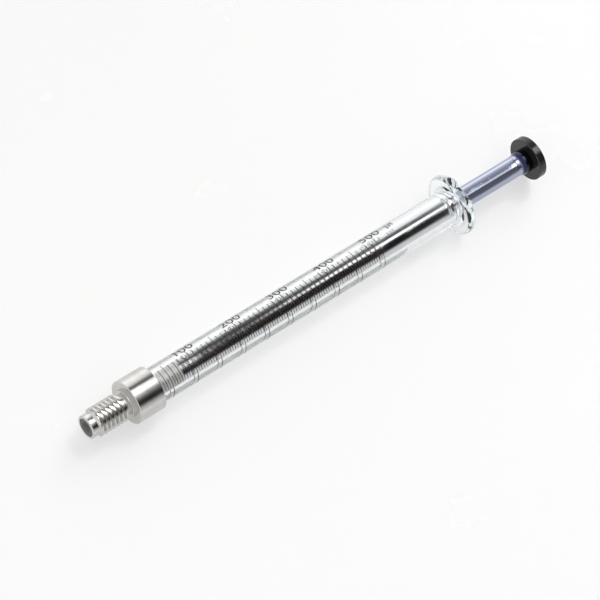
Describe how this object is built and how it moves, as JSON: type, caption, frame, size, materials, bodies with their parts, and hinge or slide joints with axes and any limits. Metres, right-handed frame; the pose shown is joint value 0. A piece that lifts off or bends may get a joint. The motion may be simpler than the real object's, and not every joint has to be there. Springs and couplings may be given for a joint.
{
  "type": "gas-tight glass microlitre syringe",
  "caption": "Glass laboratory syringe with a threaded metal hub, ground finger flange, polished plunger rod and black thumb button.",
  "frame": {"origin": "on the bore axis at the hub's shoulder face, where the threaded end meets the hub's plain body", "axes": "+X along the bore axis, from the hub to the plunger button; +Z square to the two flange flats, on the side that carries the scale; +Y along the flange's two lobes"},
  "size_m": [0.0923, 0.0106, 0.0086],
  "materials": {
    "clear_glass": "clear borosilicate, fire polished at the flange",
    "turned_steel": "fine turned stainless steel",
    "grey_polymer": "machined grey sealing polymer",
    "cured_adhesive": "cured clear-amber adhesive",
    "white_ptfe": "waxy white PTFE",
    "polished_steel": "centreless ground and mirror polished stainless steel",
    "black_anodised": "satin black anodised"
  },
  "bodies": {
    "barrel": {"glass_barrel": "clear_glass", "threaded_hub": "turned_steel", "nose_insert": "grey_polymer", "hub_adhesive": "cured_adhesive", "barrel_seal": "white_ptfe"},
    "plunger": {"plunger_rod": "polished_steel", "plunger_tip": "white_ptfe", "plunger_button": "black_anodised"}
  },
  "joints": [
    {"name": "plunger_slide", "type": "slide", "parent": "barrel", "child": "plunger", "axis": [1, 0, 0], "range_m": [0, 0.0478]}
  ]
}
